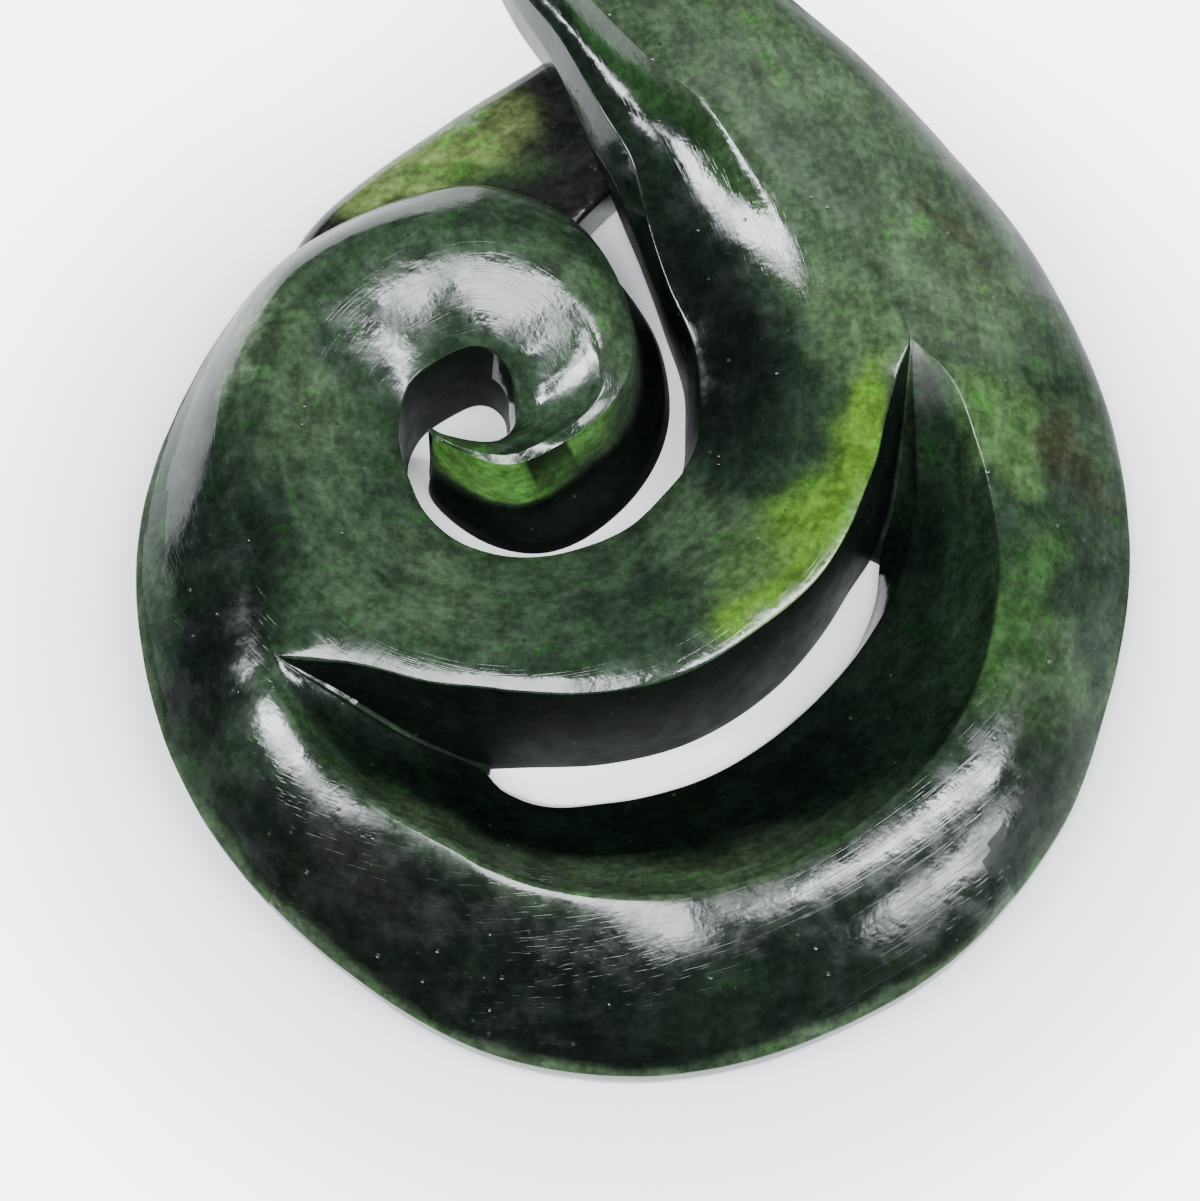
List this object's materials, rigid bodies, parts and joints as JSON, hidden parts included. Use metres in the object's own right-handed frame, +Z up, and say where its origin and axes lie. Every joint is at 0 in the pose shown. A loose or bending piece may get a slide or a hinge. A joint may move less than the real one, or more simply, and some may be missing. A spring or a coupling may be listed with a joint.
{
  "type": "greenstone twist pendant",
  "caption": "Carved greenstone pendant: a curled disc with a crescent cut, whose strands cross in a twist and close in a loop with a drilled eye for a cord.",
  "frame": {"origin": "middle of the box in plan, on the flat back that the pendant lies on", "axes": "+Z up out of the carved face, +Y from the disc to the loop with the cord eye, +X to the right of the carved face"},
  "size_m": [0.0424, 0.0634, 0.0084],
  "materials": {
    "greenstone": "polished"
  },
  "bodies": {
    "root": {"carved_stone": "greenstone"}
  },
  "joints": []
}
